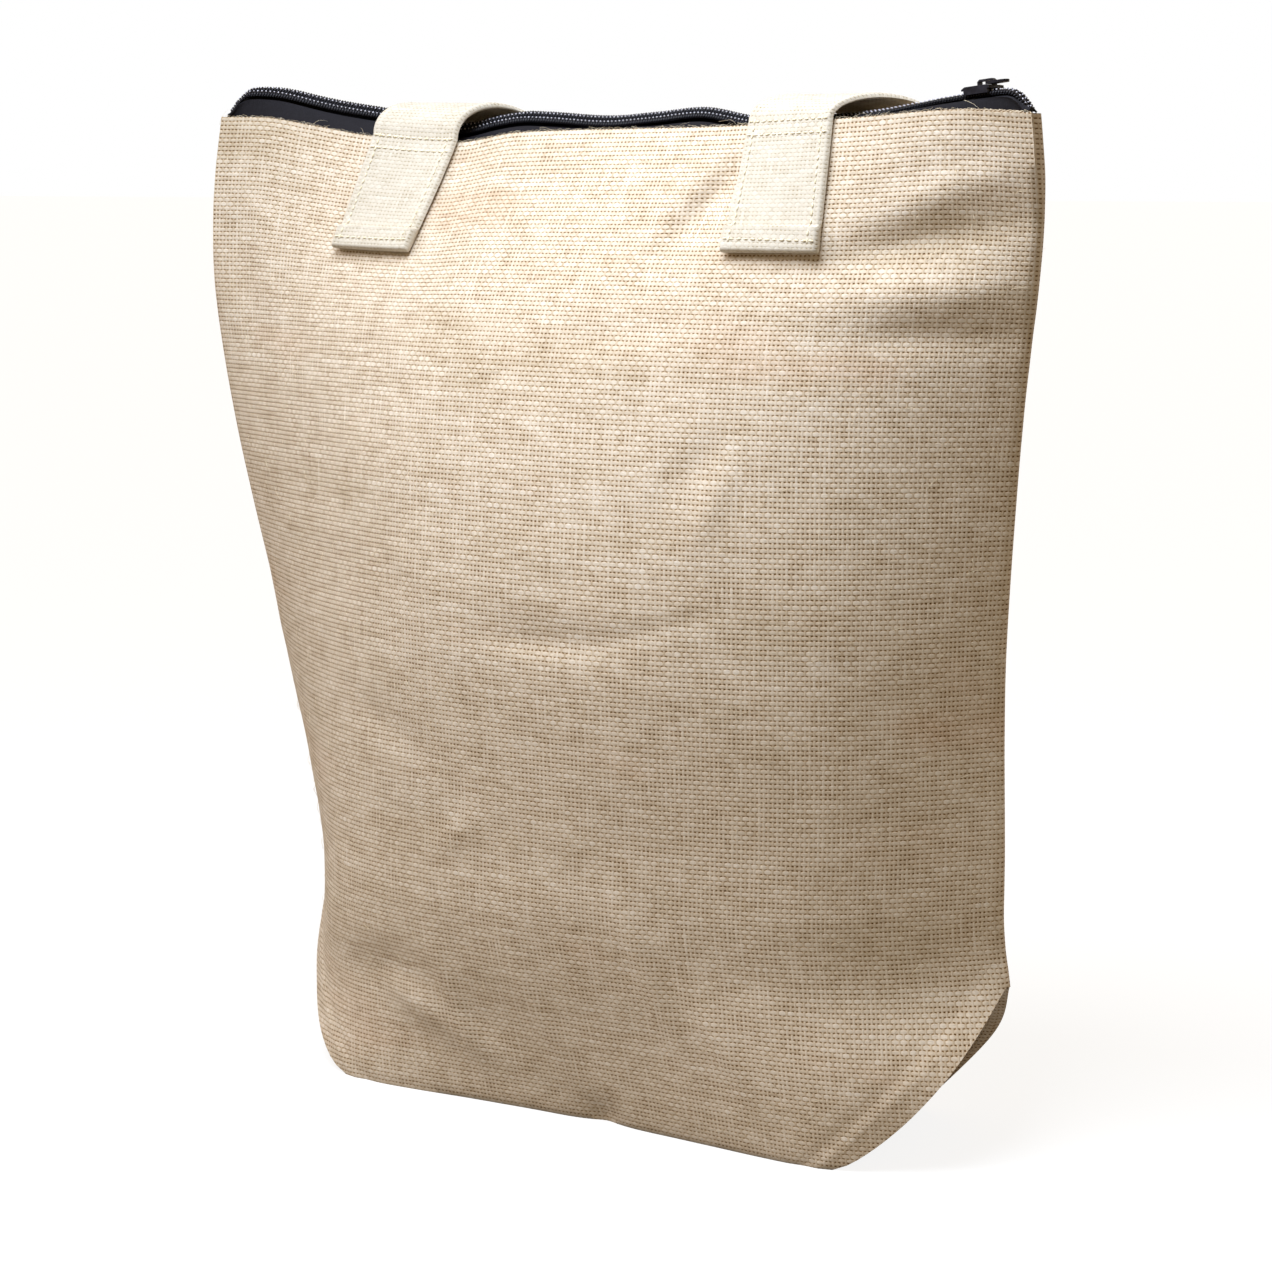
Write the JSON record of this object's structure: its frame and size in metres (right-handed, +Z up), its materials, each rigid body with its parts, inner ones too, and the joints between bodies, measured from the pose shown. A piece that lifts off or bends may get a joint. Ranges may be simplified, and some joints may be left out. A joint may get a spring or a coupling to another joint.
{
  "type": "tote bag",
  "caption": "Upright jute tote bag with a zip along its mouth, cotton webbing handles and a half-opened base gusset that it stands on.",
  "frame": {"origin": "on the floor, under the middle of the object's bounding box", "axes": "+Z up, +X along the width to the right of someone who looks at the front panel, +Y from front to back"},
  "size_m": [0.4016, 0.1553, 0.445],
  "materials": {
    "jute": "coarse plain weave, unbleached",
    "webbing": "woven cotton, undyed",
    "tape": "woven black tape",
    "teeth": "nylon coil, satin black",
    "slider": "black enamel, half gloss"
  },
  "bodies": {
    "root": {"bag_body": "jute", "zip_tape_front": "tape", "zip_tape_back": "tape", "zip_chain": "teeth", "zip_slider": "slider", "zip_pull": "slider", "handle_front": "webbing", "handle_back": "webbing"}
  },
  "joints": []
}
